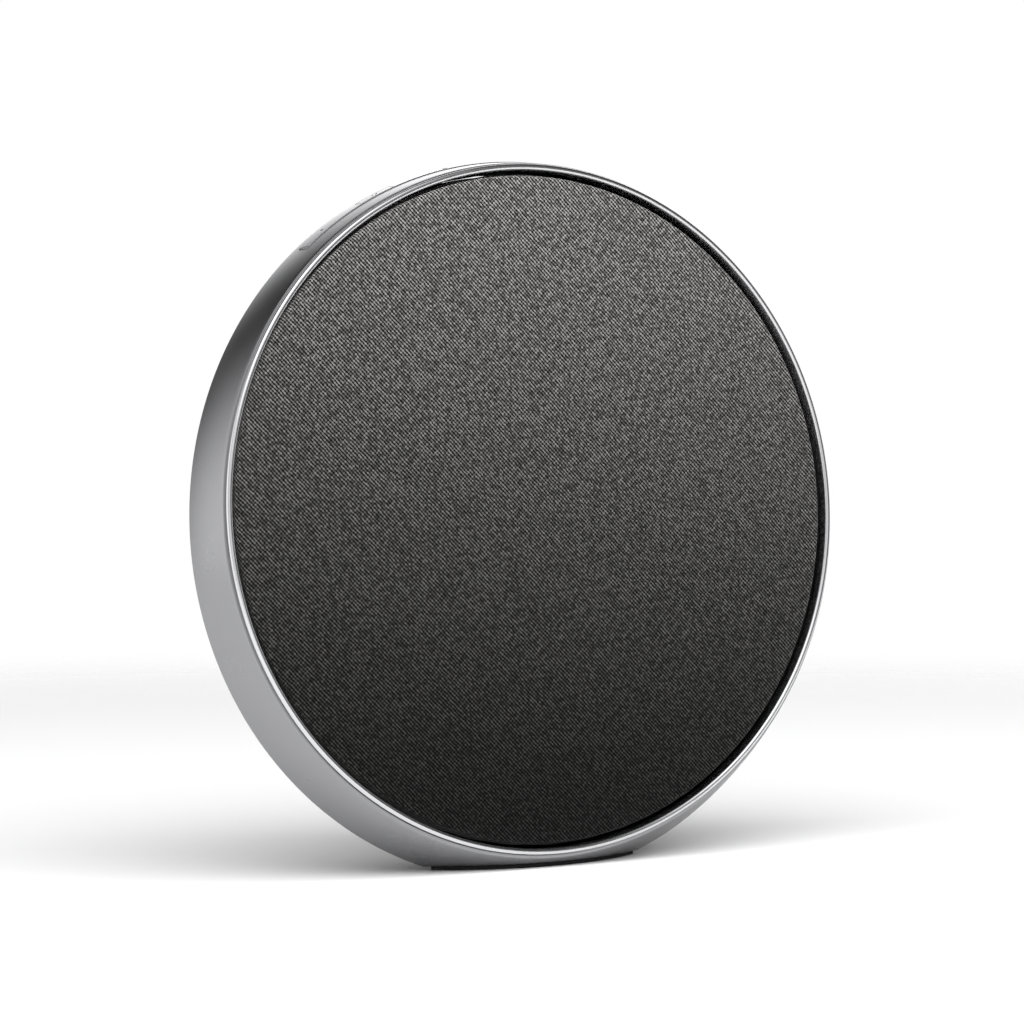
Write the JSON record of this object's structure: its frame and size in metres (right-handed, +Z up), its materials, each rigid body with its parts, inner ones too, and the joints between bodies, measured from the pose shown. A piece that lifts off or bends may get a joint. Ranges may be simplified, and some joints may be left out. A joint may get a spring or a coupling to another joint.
{
  "type": "smart speaker",
  "caption": "Round smart speaker standing on edge: charcoal cloth face in a polished bezel, flared satin aluminium band with keys on the crown, domed rear with passive radiator.",
  "frame": {"origin": "on the floor plane, under the middle of the bounding box", "axes": "+Z up, -Y to the front (the cloth face looks along -Y, leaning back 3.81 degrees), +X to the right for someone facing the cloth"},
  "size_m": [0.2452, 0.0672, 0.2389],
  "materials": {
    "satin_aluminium": "bead-blasted and satin anodised",
    "polished_aluminium": "polished and clear anodised",
    "charcoal_cloth": "woven acoustic cloth, charcoal",
    "black_plastic": "moulded ABS, fine spark texture",
    "foot_rubber": "moulded silicone rubber, matt",
    "surround_rubber": "butyl rubber half roll",
    "paper_cone": "pressed paper pulp",
    "spider_cloth": "resin-stiffened woven cotton",
    "voice_coil_winding": "enamelled copper wire",
    "zinc_steel": "zinc plated",
    "magnet": "sintered magnet",
    "silk_dome": "coated silk",
    "circuit_board": "solder mask over glass epoxy",
    "heat_sink_aluminium": "extruded, mill finish",
    "light_pipe": "translucent polycarbonate"
  },
  "bodies": {
    "chassis": {"outer_band": "satin_aluminium", "control_strip": "satin_aluminium", "bezel_ring": "polished_aluminium", "grille_fabric": "charcoal_cloth", "grille_frame": "black_plastic", "baffle": "black_plastic", "rear_cover": "black_plastic", "woofer_basket": "black_plastic", "tweeter_left_body": "black_plastic", "tweeter_right_body": "black_plastic", "radiator_frame": "black_plastic", "power_jack": "black_plastic", "front_foot_pad": "foot_rubber", "rear_foot_pad": "foot_rubber", "woofer_surround": "surround_rubber", "radiator_surround": "surround_rubber", "woofer_spider": "spider_cloth", "woofer_top_plate": "zinc_steel", "woofer_pole_piece": "zinc_steel", "service_socket": "zinc_steel", "wireless_module": "zinc_steel", "microphone_left": "zinc_steel", "microphone_right": "zinc_steel", "woofer_screw_1": "zinc_steel", "woofer_screw_2": "zinc_steel", "woofer_screw_3": "zinc_steel", "woofer_screw_4": "zinc_steel", "cover_screw_1": "zinc_steel", "cover_screw_2": "zinc_steel", "cover_screw_3": "zinc_steel", "cover_screw_4": "zinc_steel", "woofer_magnet": "magnet", "main_board": "circuit_board", "switch_board": "circuit_board", "amplifier_heat_sink": "heat_sink_aluminium", "filter_capacitor_1": "heat_sink_aluminium", "filter_capacitor_2": "heat_sink_aluminium", "status_light_pipe": "light_pipe"},
    "woofer_piston": {"woofer_cone": "paper_cone", "woofer_dust_cap": "paper_cone", "woofer_voice_coil": "voice_coil_winding"},
    "radiator_piston": {"radiator_plate": "satin_aluminium"},
    "left_dome": {"tweeter_left_dome": "silk_dome"},
    "right_dome": {"tweeter_right_dome": "silk_dome"},
    "reset": {"reset_button": "black_plastic"},
    "pairing_key": {"key_pairing": "satin_aluminium"},
    "volume_down_key": {"key_volume_down": "satin_aluminium"},
    "play_pause_key": {"key_play_pause": "satin_aluminium"},
    "volume_up_key": {"key_volume_up": "satin_aluminium"},
    "microphone_mute_key": {"key_microphone_mute": "satin_aluminium"}
  },
  "joints": [
    {"name": "woofer_travel", "type": "slide", "parent": "chassis", "child": "woofer_piston", "axis": [0, 0.9978, -0.0664], "range_m": [-0.003, 0.003], "stiffness_N_per_m": 1200, "deforming": ["woofer_surround", "woofer_spider"]},
    {"name": "radiator_travel", "type": "slide", "parent": "chassis", "child": "radiator_piston", "axis": [0, 0.9978, -0.0664], "range_m": [-0.003, 0.003], "stiffness_N_per_m": 900, "deforming": ["radiator_surround"]},
    {"name": "left_dome_travel", "type": "slide", "parent": "chassis", "child": "left_dome", "axis": [0, 0.9978, -0.0664], "range_m": [-0.0003, 0.0003], "stiffness_N_per_m": 1000},
    {"name": "right_dome_travel", "type": "slide", "parent": "chassis", "child": "right_dome", "axis": [0, 0.9978, -0.0664], "range_m": [-0.0003, 0.0003], "stiffness_N_per_m": 1000},
    {"name": "reset_press", "type": "slide", "parent": "chassis", "child": "reset", "axis": [0, -0.9978, 0.0664], "range_m": [0, 0.0005], "stiffness_N_per_m": 500},
    {"name": "pairing_press", "type": "slide", "parent": "chassis", "child": "pairing_key", "axis": [0.454, -0.0592, -0.889], "range_m": [0, 0.0006], "stiffness_N_per_m": 500},
    {"name": "volume_down_press", "type": "slide", "parent": "chassis", "child": "volume_down_key", "axis": [0.2334, -0.0646, -0.9702], "range_m": [0, 0.0006], "stiffness_N_per_m": 500},
    {"name": "play_pause_press", "type": "slide", "parent": "chassis", "child": "play_pause_key", "axis": [0, -0.0664, -0.9978], "range_m": [0, 0.0006], "stiffness_N_per_m": 500},
    {"name": "volume_up_press", "type": "slide", "parent": "chassis", "child": "volume_up_key", "axis": [-0.2334, -0.0646, -0.9702], "range_m": [0, 0.0006], "stiffness_N_per_m": 500},
    {"name": "microphone_mute_press", "type": "slide", "parent": "chassis", "child": "microphone_mute_key", "axis": [-0.454, -0.0592, -0.889], "range_m": [0, 0.0006], "stiffness_N_per_m": 500}
  ]
}
